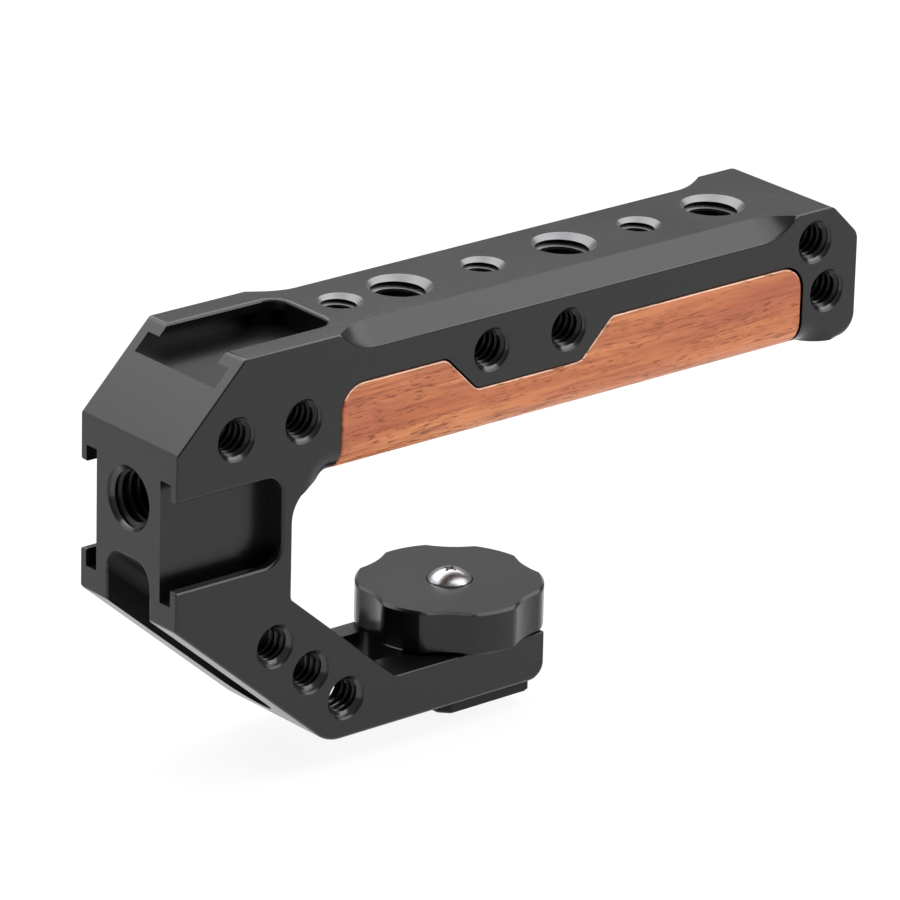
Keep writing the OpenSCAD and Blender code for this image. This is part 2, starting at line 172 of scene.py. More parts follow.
class Graph:
    """The nodes of one material, around its Principled shader."""

    def __init__(self, name: str) -> None:
        """Starts a material of that name."""
        self.material = bpy.data.materials.new(name)
        self.material.use_nodes = True
        self.tree = self.material.node_tree
        self.shader = next(n for n in self.tree.nodes if n.type == "BSDF_PRINCIPLED")

    def node(self, kind: str, settings: dict[str, object],
             inputs: dict[Union[str, int], Input]) -> bpy.types.Node:
        """Adds a node.

        Args:
            kind: the node's type.
            settings: its properties.
            inputs: values or links for its sockets, by name or number.

        Returns:
            The new node.
        """
        made = self.tree.nodes.new(kind)
        for key, setting in settings.items():
            setattr(made, key, setting)
        for key, value in inputs.items():
            self.feed(made.inputs[key], value)
        return made

    def feed(self, socket: bpy.types.NodeSocket, value: Input) -> None:
        """Gives a socket a link or a constant."""
        if isinstance(value, Value):
            value = value.socket
        if isinstance(value, bpy.types.NodeSocket):
            self.tree.links.new(value, socket)
        elif isinstance(value, (tuple, list)) and len(value) == 3 and socket.type == "RGBA":
            socket.default_value = (*value, 1.0)
        else:
            socket.default_value = value

    def value(self, kind: str, settings: dict[str, object], inputs: dict[Union[str, int], Input]) -> Value:
        """Adds a node and returns its first output as a number."""
        return Value(self, self.node(kind, settings, inputs).outputs[0])

    def place(self, scale: Sequence[float], turn: Sequence[float] = (0.0, 0.0, 0.0),
              source: Input = None) -> bpy.types.NodeSocket:
        """Coordinates in the piece's own frame.

        Args:
            scale: what each axis is multiplied by.
            turn: angles about the axes, in radians.
            source: a vector to use in place of the object's coordinates.

        Returns:
            The scaled vector.
        """
        base = source or self.node("ShaderNodeTexCoord", {}, {}).outputs["Object"]
        inputs = {"Vector": base, "Scale": tuple(scale), "Rotation": tuple(turn)}
        return self.node("ShaderNodeMapping", {}, inputs).outputs[0]

    def noise(self, vector: Input, detail: float = 2.0, rough: float = 0.5) -> Value:
        """Noise of scale 1 on a vector."""
        inputs = {"Vector": vector, "Scale": 1.0, "Detail": detail, "Roughness": rough}
        return self.value("ShaderNodeTexNoise", {}, inputs)

    def mix(self, share: Input, first: Input, second: Input) -> bpy.types.NodeSocket:
        """Mixes two colours.

        Args:
            share: how much of the second colour shows.
            first: a colour or a link to one.
            second: a colour or a link to one.

        Returns:
            The mixed colour.
        """
        inputs = {0: share, MIX_FIRST: first, MIX_SECOND: second}
        return self.node("ShaderNodeMix", {"data_type": "RGBA"}, inputs).outputs[MIX_RESULT]

    def bump(self, height: Value, distance: float, strength: float) -> bpy.types.NodeSocket:
        """A normal bent by a height, with the height's full step in metres."""
        inputs = {"Height": height, "Distance": distance, "Strength": strength}
        return self.node("ShaderNodeBump", {}, inputs).outputs[0]

    def finish(self, **inputs: Input) -> bpy.types.Material:
        """Sets the Principled shader's sockets, named with _ for a space.

        Returns:
            The finished material.
        """
        for key, value in inputs.items():
            self.feed(self.shader.inputs[key.replace("_", " ").title().replace("Ior", "IOR")], value)
        return self.material


@dataclass(frozen=True)
class Anodised:
    """Blasted aluminium under a dyed oxide film: nearly black and satin, bright at a grazing angle."""

    name: str
    colour: Rgb
    roughness: float
    smudge_scale: float = 45.0
    grit_scale: float = 7000.0
    grit_height: float = 0.000004
    ior: float = 1.5
    smudge_rough: float = 0.10
    grit_rough: float = 0.06
    grit_strength: float = 0.35
    lift: float = 1.12

    def material(self) -> bpy.types.Material:
        """Returns the finish as a material."""
        g = Graph(self.name)
        smudge = g.noise(g.place([self.smudge_scale] * 3), detail=3.0)
        grit = g.noise(g.place([self.grit_scale] * 3), detail=1.0)
        rough = self.roughness + (smudge - 0.5) * self.smudge_rough + (grit - 0.5) * self.grit_rough
        tint = g.mix(smudge.step(0.3, 0.7), self.colour, tuple(c * self.lift for c in self.colour))
        return g.finish(base_color=tint, metallic=0.0, roughness=rough, ior=self.ior,
                        normal=g.bump(grit, self.grit_height, self.grit_strength))


@dataclass(frozen=True)
class Wood:
    """Oiled reddish brown wood with straight grain along the handle, dark pores and soft bands."""

    name: str = "oiled_wood"
    pale: Rgb = (0.53, 0.190, 0.068)
    middle: Rgb = (0.41, 0.118, 0.040)
    ruddy: Rgb = (0.32, 0.082, 0.036)
    deep: Rgb = (0.21, 0.045, 0.016)
    pore: Rgb = (0.15, 0.033, 0.009)
    wave: float = 0.0034
    lean: float = 2.2
    drift_scale: Triple = (24.0, 8.0, 34.0)
    band_scale: Triple = (14.0, 90.0, 260.0)
    stain_scale: Triple = (22.0, 120.0, 180.0)
    streak_scale: Triple = (70.0, 700.0, 1500.0)
    fibre_scale: Triple = (260.0, 3600.0, 5200.0)
    pore_scale: Triple = (380.0, 2000.0, 3700.0)
    patch_scale: Triple = (60.0, 200.0, 380.0)
    stain_share: float = 0.75
    streak_share: float = 0.66
    fibre_share: float = 0.9
    pore_share: float = 0.85
    roughness: float = 0.40
    shine: float = 0.35
    relief: float = 0.00004
    relief_strength: float = 0.6

    def material(self) -> bpy.types.Material:
        """Returns the finish as a material, its scales given in waves to the metre."""
        g = Graph(self.name)
        coords = g.node("ShaderNodeTexCoord", {}, {}).outputs["Object"]
        drift = g.noise(g.place(self.drift_scale, source=coords), 2.0, 0.45)
        shift = g.node("ShaderNodeCombineXYZ", {}, {"Z": (drift - 0.5) * self.wave}).outputs[0]
        grain = g.node("ShaderNodeVectorMath", {"operation": "ADD"}, {0: coords, 1: shift}).outputs[0]
        slope = (0.0, math.radians(self.lean), 0.0)
        bands = g.noise(g.place(self.band_scale, slope, grain), 3.0, 0.55)
        stain = g.noise(g.place(self.stain_scale, slope, grain), 2.0, 0.5)
        streaks = g.noise(g.place(self.streak_scale, slope, grain), 3.0, 0.65)
        fibres = g.noise(g.place(self.fibre_scale, slope, grain), 2.0)
        dashes = g.noise(g.place(self.pore_scale, slope, grain), 2.0, 0.6)
        patches = g.noise(g.place(self.patch_scale, source=grain), 1.0)
        tone = g.mix(bands.step(0.36, 0.64), self.middle, self.pale)
        tone = g.mix(stain.step(0.48, 0.68) * self.stain_share, tone, self.ruddy)
        tone = g.mix(streaks.step(0.47, 0.68) * self.streak_share, tone, self.deep)
        tone = g.mix((fibres - 0.38).clamped() * self.fibre_share, tone, self.deep)
        pores = dashes.step(0.545, 0.64) * patches.step(0.32, 0.54)
        tone = g.mix(pores * self.pore_share, tone, self.pore)
        rough = self.roughness + pores * 0.25 + (fibres - 0.5) * 0.12
        relief = g.bump(fibres * 0.5 - pores, self.relief, self.relief_strength)
        return g.finish(base_color=tone, metallic=0.0, roughness=rough, specular_ior_level=self.shine,
                        normal=relief)


@dataclass(frozen=True)
class Plated:
    """Plated or plain steel: bright metal with faint hairlines."""

    name: str
    colour: Rgb
    roughness: float
    hairline: float = 0.05
    hairline_scale: Triple = (900.0, 900.0, 14000.0)
    relief: float = 0.000002

    def material(self) -> bpy.types.Material:
        """Returns the finish as a material."""
        g = Graph(self.name)
        lines = g.noise(g.place(self.hairline_scale))
        rough = self.roughness + (lines - 0.5) * self.hairline
        return g.finish(base_color=self.colour, metallic=1.0, roughness=rough,
                        normal=g.bump(lines, self.relief, 0.3))


@dataclass(frozen=True)
class Moulded:
    """A pale, slightly mottled plastic or adhesive."""

    name: str
    colour: Rgb
    roughness: float
    mottle_scale: float = 600.0
    shade: float = 0.9
    relief: float = 0.00001

    def material(self) -> bpy.types.Material:
        """Returns the finish as a material."""
        g = Graph(self.name)
        mottle = g.noise(g.place([self.mottle_scale] * 3), detail=3.0)
        tint = g.mix(mottle.step(0.35, 0.65), self.colour, tuple(c * self.shade for c in self.colour))
        return g.finish(base_color=tint, metallic=0.0, roughness=self.roughness,
                        normal=g.bump(mottle, self.relief, 0.3))


class Bench:
    """Mesh work as done by hand: one piece selected, edited with operators and finished."""

    @staticmethod
    def pick(piece: bpy.types.Object) -> None:
        """Selects one piece alone and makes it active."""
        bpy.ops.object.select_all(action="DESELECT")
        piece.select_set(True)
        bpy.context.view_layer.objects.active = piece

    @staticmethod
    def select_points(piece: bpy.types.Object, test: Callable[[Vector], bool]) -> None:
        """Opens a piece in edit mode with the points that pass a test selected."""
        Bench.pick(piece)
        bpy.ops.object.mode_set(mode="EDIT")
        bpy.ops.mesh.select_mode(type="VERT")
        bpy.ops.mesh.select_all(action="DESELECT")
        bpy.ops.object.mode_set(mode="OBJECT")
        for point in piece.data.vertices:
            point.select = test(point.co)
        bpy.ops.object.mode_set(mode="EDIT")

    @staticmethod
    def select_faces(piece: bpy.types.Object, test: Callable[[Vector, Vector], bool]) -> None:
        """Opens a piece in edit mode with the faces selected whose middle and normal pass a test."""
        Bench.pick(piece)
        bpy.ops.object.mode_set(mode="EDIT")
        bpy.ops.mesh.select_mode(type="FACE")
        bpy.ops.mesh.select_all(action="DESELECT")
        bpy.ops.object.mode_set(mode="OBJECT")
        for face in piece.data.polygons:
            face.select = test(face.center, face.normal)
        bpy.ops.object.mode_set(mode="EDIT")

    @staticmethod
    def modify(piece: bpy.types.Object, kind: str, **settings: object) -> None:
        """Adds a modifier to a piece and applies it.

        Args:
            piece: the piece.
            kind: the modifier's type.
            settings: its properties.
        """
        Bench.pick(piece)
        bpy.ops.object.modifier_add(type=kind)
        modifier = piece.modifiers[-1]
        for key, setting in settings.items():
            setattr(modifier, key, setting)
        bpy.ops.object.modifier_apply(modifier=modifier.name)

    @staticmethod
    def cut(piece: bpy.types.Object, cutter: bpy.types.Object) -> None:
        """Takes a cutter's shape out of a piece, and deletes the cutter."""
        Bench.modify(piece, "BOOLEAN", operation="DIFFERENCE", solver="EXACT", object=cutter)
        bpy.data.objects.remove(cutter)

    @staticmethod
    def copy(piece: bpy.types.Object, name: str, turn: Matrix, spot: Vector) -> bpy.types.Object:
        """Copies a piece with a mesh of its own.

        Args:
            piece: the piece.
            name: the copy's name.
            turn: how the copy is turned about the origin.
            spot: where its origin goes.

        Returns:
            The copy, with its place in its mesh.
        """
        copy = bpy.data.objects.new(name, piece.data.copy())
        copy.data.name = name
        bpy.context.scene.collection.objects.link(copy)
        copy.data.transform(Matrix.Translation(spot) @ turn.to_4x4())
        return copy

    @staticmethod
    def copy_node(node: str, name: str) -> bpy.types.Object:
        """Copies a CAD node's mesh, and merges its loose triangles into clean faces.

        Args:
            node: the CAD node.
            name: the new piece's name.

        Returns:
            The new piece, at the origin.
        """
        piece = Bench.copy(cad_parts[node], name, Matrix.Identity(3), Vector())
        piece.data.materials.clear()
        Bench.pick(piece)
        bpy.ops.object.mode_set(mode="EDIT")
        bpy.ops.mesh.select_all(action="SELECT")
        bpy.ops.mesh.remove_doubles(threshold=MERGE)
        bpy.ops.mesh.customdata_custom_splitnormals_clear()
        bpy.ops.mesh.dissolve_limited(angle_limit=math.radians(0.15))
        bpy.ops.object.mode_set(mode="OBJECT")
        return piece

    @staticmethod
    def break_edges(piece: bpy.types.Object, sharpest: float,
                    width_of: Callable[[Vector, Vector], float], steps: int = 3) -> int:
        """Bevels the sharp edges of a piece, each by its own width.

        Args:
            piece: the piece.
            sharpest: the least angle between faces that counts as sharp, in degrees.
            width_of: gives an edge's width in millimetres, or 0, from its two ends in drawing millimetres.
            steps: segments across each bevel.

        Returns:
            How many edges were bevelled.
        """
        Bench.pick(piece)
        bpy.ops.object.mode_set(mode="EDIT")
        bpy.ops.mesh.select_mode(type="EDGE")
        bpy.ops.mesh.select_all(action="DESELECT")
        bpy.ops.mesh.edges_select_sharp(sharpness=math.radians(sharpest))
        bpy.ops.object.mode_set(mode="OBJECT")
        points = [drawn(p.co) for p in piece.data.vertices]
        widths = {e.index: width_of(points[e.vertices[0]], points[e.vertices[1]])
                  for e in piece.data.edges if e.select}
        widest = max(widths.values())
        weights = piece.data.attributes.new("bevel_weight_edge", "FLOAT", "EDGE")
        for index, width in widths.items():
            weights.data[index].value = width / widest
        Bench.modify(piece, "BEVEL", width=widest * MM, segments=steps, limit_method="WEIGHT",
                     offset_type="OFFSET", use_clamp_overlap=False, miter_outer="MITER_ARC")
        return sum(1 for w in widths.values() if w > 0.0)

    @staticmethod
    def dress(piece: bpy.types.Object, body: Body, slot: Slot, material: bpy.types.Material,
              nodes: Iterable[str] = (), smooth: float = 32.0) -> None:
        """Shades a finished piece and puts it on its body.

        Args:
            piece: the piece, at the origin.
            body: the body that it rides on.
            slot: the record's slot meant for it; not used.
            material: its material.
            nodes: the CAD nodes that it stands for.
            smooth: the angle up to which faces are shaded as one, in degrees.
        """
        Bench.pick(piece)
        bpy.ops.object.shade_smooth_by_angle(angle=math.radians(smooth))
        Bench.modify(piece, "WEIGHTED_NORMAL", mode="FACE_AREA", weight=50, keep_sharp=True)
        piece.data.materials.clear()
        piece.data.materials.append(material)
        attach(piece, body.value)
        if nodes:
            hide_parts(*nodes)
        log.info("%s: %d faces on %s", piece.name, len(piece.data.polygons), body.value)

    @staticmethod
    def accent(piece: bpy.types.Object, material: bpy.types.Material,
               test: Callable[[Vector, Vector], bool]) -> None:
        """Gives some faces of a dressed piece a finish of their own.

        Args:
            piece: the piece.
            material: the finish.
            test: picks a face by its middle, in drawing millimetres, and its normal.
        """
        piece.data.materials.append(material)
        Bench.select_faces(piece, lambda co, n: test(drawn(co), n))
        piece.active_material_index = len(piece.data.materials) - 1
        bpy.ops.object.material_slot_assign()
        bpy.ops.object.mode_set(mode="OBJECT")

    @staticmethod
    def paint(node: str, material: bpy.types.Material) -> None:
        """Gives a CAD node that stays a better material."""
        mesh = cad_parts[node].data
        mesh.materials.clear()
        mesh.materials.append(material)
        log.info("%s: keeps its solid", node)


@dataclass(frozen=True)
class ThreadForm:
    """A standard thread: outside diameter and pitch in millimetres."""

    major: float
    pitch: float

    def ridge(self) -> Pair:
        """Widths of an outside thread's ridge at its foot and at its crest."""
        return self.pitch * 3 / 4, self.pitch / 8


class Threads(Enum):
    """The threads on the handle."""

    SMALL = ThreadForm(6.35, 1.27)
    LARGE = ThreadForm(9.525, 1.5875)
    CLAMP = ThreadForm(6.0, 1.0)
    CAP = ThreadForm(3.0, 0.5)


@dataclass
class ThreadMaker:
    """Coils of thread, each modelled along +Z and then copied to its holes.

    Lengths are millimetres until a piece is placed.
    """

    steps: int = 40
    height_share: float = 0.5413
    bite: float = 0.03
    sink_rim: float = 0.3
    sink_spare: float = 3.0
    sink_core: float = 0.9

    def coil(self, name: str, foot_r: float, tip_r: float, widths: Pair,
             pitch: float, start: float, turns: int) -> bpy.types.Object:
        """Winds one ridge with flat crests.

        Args:
            name: the piece's name.
            foot_r: radius of the ridge's foot.
            tip_r: radius of its crest.
            widths: its width at the foot and at the crest.
            pitch: rise of one turn.
            start: where its first turn starts on the axis.
            turns: how many turns it has.

        Returns:
            The closed coil.
        """
        spot = Vector(((foot_r + tip_r) / 2, 0.0, start)) * MM
        bpy.ops.mesh.primitive_plane_add(size=1.0, location=spot, rotation=(math.pi / 2, 0.0, 0.0))
        piece = bpy.context.object
        piece.name = piece.data.name = name
        piece.scale = (abs(foot_r - tip_r) * MM, widths[0] * MM, 1.0)
        bpy.ops.object.transform_apply(location=True, rotation=True, scale=True)
        tip = Vector((tip_r, 0.0, start)) * MM
        Bench.select_points(piece, lambda co: abs(co.x - tip.x) < 0.01 * MM)
        bpy.ops.transform.resize(value=(1.0, 1.0, widths[1] / widths[0]), center_override=tip)
        bpy.ops.mesh.select_all(action="SELECT")
        bpy.ops.mesh.delete(type="ONLY_FACE")
        bpy.ops.object.mode_set(mode="OBJECT")
        Bench.modify(piece, "SCREW", axis="Z", screw_offset=pitch * MM, iterations=turns,
                     steps=self.steps, render_steps=self.steps)
        bpy.ops.object.mode_set(mode="EDIT")
        bpy.ops.mesh.select_all(action="SELECT")
        bpy.ops.mesh.remove_doubles(threshold=MERGE)
        bpy.ops.mesh.fill_holes(sides=4)
        bpy.ops.mesh.select_all(action="SELECT")
        bpy.ops.mesh.normals_make_consistent(inside=False)
        bpy.ops.object.mode_set(mode="OBJECT")
        return piece

    def tapped(self, name: str, thread: Threads, length: float, sinks: Sequence[float]) -> bpy.types.Object:
        """Models the thread in a hole whose mouth is at z = 0 and that runs down to -length.

        Args:
            name: the piece's name.
            thread: the thread.
            length: how far down the thread goes.
            sinks: the faces on the axis where the thread is countersunk.

        Returns:
            The thread.
        """
        form = thread.value
        outer = form.major / 2
        tip = outer - self.height_share * form.pitch
        through = len(sinks) > 1
        turns = math.ceil(length / form.pitch) + (1 if through else 0)
        start = form.pitch / 2 - turns * form.pitch + (form.pitch / 2 if through else 0.0)
        widths = (form.pitch * 7 / 8, form.pitch / 4)
        piece = self.coil(name, outer + self.bite, tip, widths, form.pitch, start, turns)
        for face in sinks:
            self._sink(piece, face, outer + self.sink_rim, tip, 1.0 if face == 0.0 else -1.0)
        return piece

    def _sink(self, piece: bpy.types.Object, face: float, rim: float, tip: float, way: float) -> None:
        """Cuts a 90 degree countersink into a thread.

        Args:
            piece: the thread.
            face: where the face lies on the axis.
            rim: the countersink's radius at the face.
            tip: the thread's crest radius.
            way: 1 where the face looks up the axis and -1 where it looks down.
        """
        low, high = tip * self.sink_core, rim + self.sink_spare
        middle = face + way * ((high - rim) - (rim - low)) / 2
        radii = (low, high) if way > 0 else (high, low)
        bpy.ops.mesh.primitive_cone_add(vertices=96, radius1=radii[0] * MM, radius2=radii[1] * MM,
                                        depth=(high - low) * MM, location=(0.0, 0.0, middle * MM))
        Bench.cut(piece, bpy.context.object)


@dataclass(frozen=True)
class FrameFinishes:
    """The finishes of the machined frame: its skin, and copies of it for its threads and other places, which
    paint light and shade: painted shade in the threads, the slot and the top shoe's floor, and painted
    highlights on the hole mouths and in the top holes.
    """

    skin: bpy.types.Material
    # Painted shade: a darker, less glossy copy of the skin that keeps the threads of the side, front and arm
    # holes dark.
    thread: bpy.types.Material
    # Painted glint: a glossier copy of the skin on the countersunk mouths of those holes.
    mouth: bpy.types.Material
    # Painted highlight: bright metal on the threads and lead-ins of the top holes, for the rings of light in
    # them.
    bright: bpy.types.Material
    # Painted shade: a darker, duller copy of the skin inside the slot under the arm.
    slot: bpy.types.Material
    # Painted shade: a darker, less glossy copy of the skin on the top shoe's floor.
    shoe: bpy.types.Material


@dataclass
class HandleFrame:
    """The one-piece machined frame, with its edges broken and its holes tapped.

    Lengths are drawing millimetres: along the handle from its front face, and down from its top.
    """

    finishes: FrameFinishes
    half_w: float = 11.5
    post_h: float = 39.65
    arm_angle: float = 40.5
    arm_t: float = 14.0
    arm_starts: tuple[float, ...] = (18.4, 27.35, 36.3)
    base: float = 64.4
    platform_end: float = 70.778
    shoe_len: float = 19.6
    shoe_mid: float = 26.5
    shoe_half: float = 6.9
    top_shoe_x: Pair = (12.0, 32.6)
    top_floor_x: Pair = (10.0, 34.0)
    top_floor_z: Pair = (-6.0, -3.0)
    slope_end: float = 13.0
    slot_half: float = 5.0
    slot_top: float = -28.0
    slot_end: float = 42.0
    grip_x: Pair = (30.0, 121.4)
    grip_z: Pair = (-23.0, -7.9)
    edge: float = 0.28
    lip_edge: float = 0.55
    arch_edge: float = 0.45
    arm_edge: float = 0.65
    arm_lift: float = 2.4
    arm_fade: float = 2.0
    tail_edge: float = 1.1
    tail_x: float = 122.0
    tail_ramp: Pair = (126.8, 1.6)
    corner_top: float = 19.0
    corner_fade: float = 2.6
    grip_mid: float = 66.2
    first_hole: float = 38.9
    small_step: float = 31.0
    small_depth: float = 10.6
    large_steps: tuple[float, ...] = (-16.0, 16.0, 46.0)
    large_depth: float = 12.6
    front_drop: float = 22.2
    side_holes: tuple[Pair, ...] = (
        (10.8, 12.0), (23.2, 12.0), (58.7, 8.6), (73.7, 8.6), (123.4, 5.1), (126.25, 13.6))
    slot_clear: float = 0.2
    hole_reach: float = 3.6
    mouth_start: float = 33.0
    mouth_half: float = 5.6
    mouth_depth: float = 0.6
    # Shares of a face's normal along the hole's axis for the countersink faces that get the painted glint
    # finish.
    painted_glint_facing: Pair = (0.69, 0.725)

    def arm_place(self, along: float, up: float) -> Pair:
        """X and depth of a point on the arm, from its front corner down its underside and up square to it."""
        a = math.radians(self.arm_angle)
        x = along * math.cos(a) + up * math.sin(a)
        return x, self.post_h + along * math.sin(a) - up * math.cos(a)

    def _lift(self, m: Vector) -> float:
        """How far a point lies from the plane of the arm's underside, square to it."""
        arm = math.radians(self.arm_angle)
        return (m.z + self.post_h) * math.cos(arm) + m.x * math.sin(arm)

    def _side_break(self, m: Vector) -> float:
        """Width of the break on a side face's edge, by its middle: wider along the arm and the rear corner."""
        in_grip = self.grip_x[0] < m.x < self.grip_x[1] and self.grip_z[0] < m.z < self.grip_z[1]
        if self._in_hole(m) or in_grip:
            return 0.0
        if m.x < self.shoe_len and abs(m.z + self.shoe_mid) < self.shoe_half + TINY:
            return self.lip_edge
        if m.x > self.tail_x:
            low = (-self.corner_top - m.z) / self.corner_fade
        else:
            low = (self.arm_lift - min(self._lift(m), m.z + self.base)) / self.arm_fade
        tail = held((m.x - self.tail_ramp[0]) / self.tail_ramp[1])
        widest = self.arm_edge + (self.tail_edge - self.arm_edge) * tail
        return self.edge + (widest - self.edge) * held(low)

    def _break(self, a: Vector, b: Vector) -> float:
        """Width of the break on a sharp edge.

        Args:
            a: the edge's first end, in drawing millimetres.
            b: its other end.

        Returns:
            The width in millimetres, or 0 where the edge stays as it is.
        """
        m = (a + b) / 2
        ends = (a, b)
        if all(abs(abs(p.y) - self.half_w) < TINY for p in ends):
            return self._side_break(m)
        if all(abs(p.x) < TINY and abs(p.y) < self.slot_half + TINY and p.z < self.slot_top for p in ends):
            return self.arch_edge
        low, high = self.top_shoe_x
        if all(abs(p.z) < TINY and abs(p.y) < self.shoe_half + TINY and low < p.x < high for p in ends):
            return self.lip_edge
        across = abs(a.y - b.y) > 0.2 and abs(a.x - b.x) < TINY and abs(a.z - b.z) < TINY
        front = m.x < TINY or (abs(m.z) < TINY and m.x < self.slope_end)
        if across and (front or abs(m.x - self.platform_end) < TINY):
            return self.edge
        return 0.0

    def _arm_holes(self) -> list[Pair]:
        """Places of the holes in the arm, each along and down."""
        return [self.arm_place(start, self.arm_t / 2) for start in self.arm_starts]

    def _in_hole(self, m: Vector) -> bool:
        """Whether a point of a side face lies on a hole's mouth."""
        places = list(self.side_holes) + self._arm_holes()
        return any(math.hypot(m.x - x, m.z + drop) < self.hole_reach for x, drop in places)

    def body(self) -> None:
        """Builds the frame with its broken edges."""
        piece = Bench.copy_node("handle_frame", "machined_frame")
        count = Bench.break_edges(piece, 20.0, self._break)
        log.info("machined_frame: %d edges broken", count)
        Bench.dress(piece, Body.HANDLE, Slot.FRAME, self.finishes.skin, ["handle_frame"])
        # Painted highlight on the lead-ins of the top holes.
        Bench.accent(piece, self.finishes.bright, self._top_mouth_painted_highlight)
        # Painted shade inside the slot under the arm.
        Bench.accent(piece, self.finishes.slot, self._slot_painted_shade)
        # Painted shade on the top shoe's floor.
        Bench.accent(piece, self.finishes.shoe, self._top_floor_painted_shade)

    def _top_mouth_painted_highlight(self, m: Vector, n: Vector) -> bool:
        """Whether a face is the lead-in of a tapped hole in the top, which gets the finish that paints
        highlights.
        """
        low = -self.mouth_depth < m.z < -TINY
        return self.mouth_start < m.x and low and 0.5 < n.z < FACING and abs(m.y) < self.mouth_half

    def _slot_painted_shade(self, m: Vector, _: Vector) -> bool:
        """Whether a face lies in the slot along the arm's underside, where shade is painted."""
        inside = 0.05 < m.x < self.slot_end and m.z < self.slot_top and self._lift(m) > 0.05
        return inside and abs(m.y) < self.slot_half + TINY

    def _top_floor_painted_shade(self, m: Vector, n: Vector) -> bool:
        """Whether a face is the floor of the top shoe, where shade is painted."""
        along = self.top_floor_x[0] < m.x < self.top_floor_x[1]
        return n.z > 0.99 and along and self.top_floor_z[0] < m.z < self.top_floor_z[1]

    def threads(self) -> None:
        """Models each thread once and copies it to its holes."""
        maker = ThreadMaker()
        up = Matrix.Identity(3)
        wide = 2 * self.half_w
        left = Matrix.Rotation(math.pi / 2, 3, "X")
        right = Matrix.Rotation(-math.pi / 2, 3, "X")
        ahead = Matrix.Rotation(-math.pi / 2, 3, "Y")
        small_holes = (self.first_hole, self.grip_mid, self.grip_mid + self.small_step)
        patterns = [
            ("top_small_thread", Threads.SMALL, self.small_depth, (0.0,),
             [(up, (x, 0.0, 0.0)) for x in small_holes]),
            ("top_large_thread", Threads.LARGE, self.large_depth, (0.0,),
             [(up, (self.grip_mid + step, 0.0, 0.0)) for step in self.large_steps]),
            ("front_thread", Threads.LARGE, self.large_depth, (0.0,),
             [(ahead, (0.0, 0.0, -self.front_drop))]),
            ("side_thread", Threads.SMALL, wide, (0.0, -wide),
             [(left, (x, -self.half_w, -drop)) for x, drop in self.side_holes]),
            ("arm_thread", Threads.SMALL, self.half_w - self.slot_half - self.slot_clear, (0.0,),
             [(turn, (x, side * self.half_w, -drop)) for turn, side in ((left, -1.0), (right, 1.0))
              for x, drop in self._arm_holes()]),
        ]
        for name, thread, length, sinks, spots in patterns:
            pattern = maker.tapped(name, thread, length, sinks)
            for number, (turn, spot) in enumerate(spots, 1):
                self._tap(pattern, "%s_%d" % (name, number), turn, at(*spot))
            bpy.data.objects.remove(pattern)

    def _tap(self, pattern: bpy.types.Object, name: str, turn: Matrix, spot: Vector) -> None:
        """Copies a thread to a hole: with the bright finish that paints highlights in the top, and elsewhere
        with a finish that paints shade in the thread and a glossier mouth that paints glints.

        Args:
            pattern: the thread.
            name: the copy's name.
            turn: how the hole is turned.
            spot: the middle of its mouth.
        """
        copy = Bench.copy(pattern, name, turn, spot)
        in_top = name.startswith("top")
        # Painted highlight in the top holes, painted shade in the others.
        finish = self.finishes.bright if in_top else self.finishes.thread
        Bench.dress(copy, Body.HANDLE, Slot.FRAME, finish, smooth=THREAD_SMOOTH)
        if not in_top:
            axis = turn @ Vector((0.0, 0.0, 1.0))
            low, high = self.painted_glint_facing
            # The countersink gets the glossier finish that paints glints on it.
            Bench.accent(copy, self.finishes.mouth, lambda m, n: low < abs(n.dot(axis)) < high)


@dataclass
class GripPanels:
    """The two wood panels and the sheets that hold them."""

    wood: bpy.types.Material
    # Painted highlight: a much paler copy of the wood on the bevel along the panels' top edge.
    rim: bpy.types.Material
    sheet: bpy.types.Material
    half_w: float = 11.5
    edge: float = 0.42
    gap: float = 0.12
    length: float = 91.0
    height: float = 13.8
    rounding_top: float = -17.0
    # Least share of a face's normal both up and outwards for it to get the painted highlight.
    painted_highlight_lean: float = 0.3

    def _break(self, a: Vector, b: Vector) -> float:
        """Width of the break on a panel's sharp edge, given in drawing millimetres."""
        outside = all(abs(abs(p.y) - self.half_w) < TINY for p in (a, b))
        rounding = max(a.z, b.z) < self.rounding_top and abs(a.x - b.x) < TINY
        return self.edge if outside or rounding else 0.0

    def build(self) -> None:
        """Builds the panels and finishes the sheets."""
        for side in ("left", "right"):
            node = side + "_grip_panel"
            panel = Bench.copy_node(node, side + "_wood_panel")
            low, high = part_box(node)
            middle = (Vector(low) + Vector(high)) / 2
            Bench.select_points(panel, lambda co: True)
            shrink = (1.0 - 2 * self.gap / self.length, 1.0, 1.0 - self.gap / self.height)
            bpy.ops.transform.resize(value=shrink, center_override=(middle.x, middle.y, low[2]))
            bpy.ops.object.mode_set(mode="OBJECT")
            Bench.break_edges(panel, 20.0, self._break)
            Bench.dress(panel, Body.HANDLE, Slot.GRIP, self.wood, [node])
            # Painted highlight: the upward-facing edge bevels get the paler wood.
            Bench.accent(panel, self.rim, lambda m, n: min(n.z, abs(n.y)) > self.painted_highlight_lean)
            Bench.paint(side + "_bond_sheet", self.sheet)


